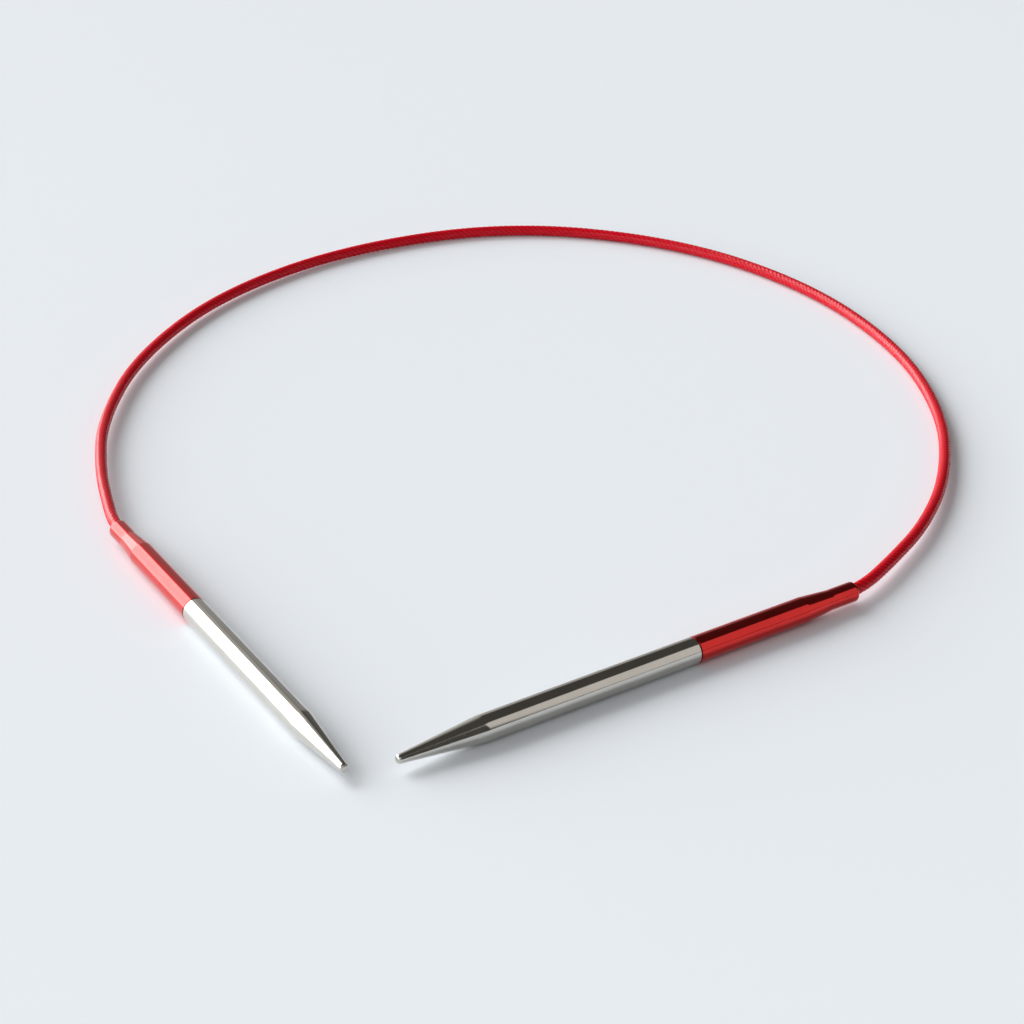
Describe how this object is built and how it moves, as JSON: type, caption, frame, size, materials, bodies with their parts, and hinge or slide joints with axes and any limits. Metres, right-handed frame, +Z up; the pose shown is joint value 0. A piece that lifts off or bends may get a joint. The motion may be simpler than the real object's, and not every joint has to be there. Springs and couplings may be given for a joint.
{
  "type": "circular knitting needle",
  "caption": "Circular knitting needle: short pointed steel needles with red necked shanks, joined through swivels by a thin flexible red coated cable.",
  "frame": {"origin": "on the surface that the needles lie on, at the middle of the needles' footprint", "axes": "+Z up, +Y from the needle tips towards the back of the cable's loop, +X to the right-hand needle"},
  "size_m": [0.1405, 0.2012, 0.004],
  "materials": {
    "polished_steel": "mirror polished along the shaft, fine grinding lines round the pointed part",
    "red_anodised_aluminium": "glossy red anodising",
    "plain_aluminium": "as drawn",
    "turned_brass": "turned",
    "steel_strand": "bright stranded wire",
    "red_nylon": "satin translucent coating that follows the wire under it"
  },
  "bodies": {
    "cable_left": {"cable_jacket_left": "red_nylon", "cable_core_left": "steel_strand", "swivel_ferrule_left": "turned_brass"},
    "cable_right": {"cable_jacket_right": "red_nylon", "cable_core_right": "steel_strand", "swivel_ferrule_right": "turned_brass"},
    "needle_left": {"needle_point_left": "polished_steel", "shank_left": "red_anodised_aluminium", "joining_spigot_left": "plain_aluminium"},
    "needle_right": {"needle_point_right": "polished_steel", "shank_right": "red_anodised_aluminium", "joining_spigot_right": "plain_aluminium"}
  },
  "joints": [
    {"name": "cable_flex", "type": "hinge", "parent": "cable_left", "child": "cable_right", "pos_m": [-0.01065, 0.16645, 0.001], "axis": [0, 0, 1], "range_deg": [-1.8, 90], "stiffness_Nm_per_rad": 0.0055},
    {"name": "left_swivel", "type": "hinge", "parent": "cable_left", "child": "needle_left", "pos_m": [-0.05635, 0.02895, 0.002], "axis": [-0.6494, 0.7604, 0], "continuous": true},
    {"name": "right_swivel", "type": "hinge", "parent": "cable_right", "child": "needle_right", "pos_m": [0.05635, 0.03285, 0.002], "axis": [0.6494, 0.7604, 0], "continuous": true}
  ]
}
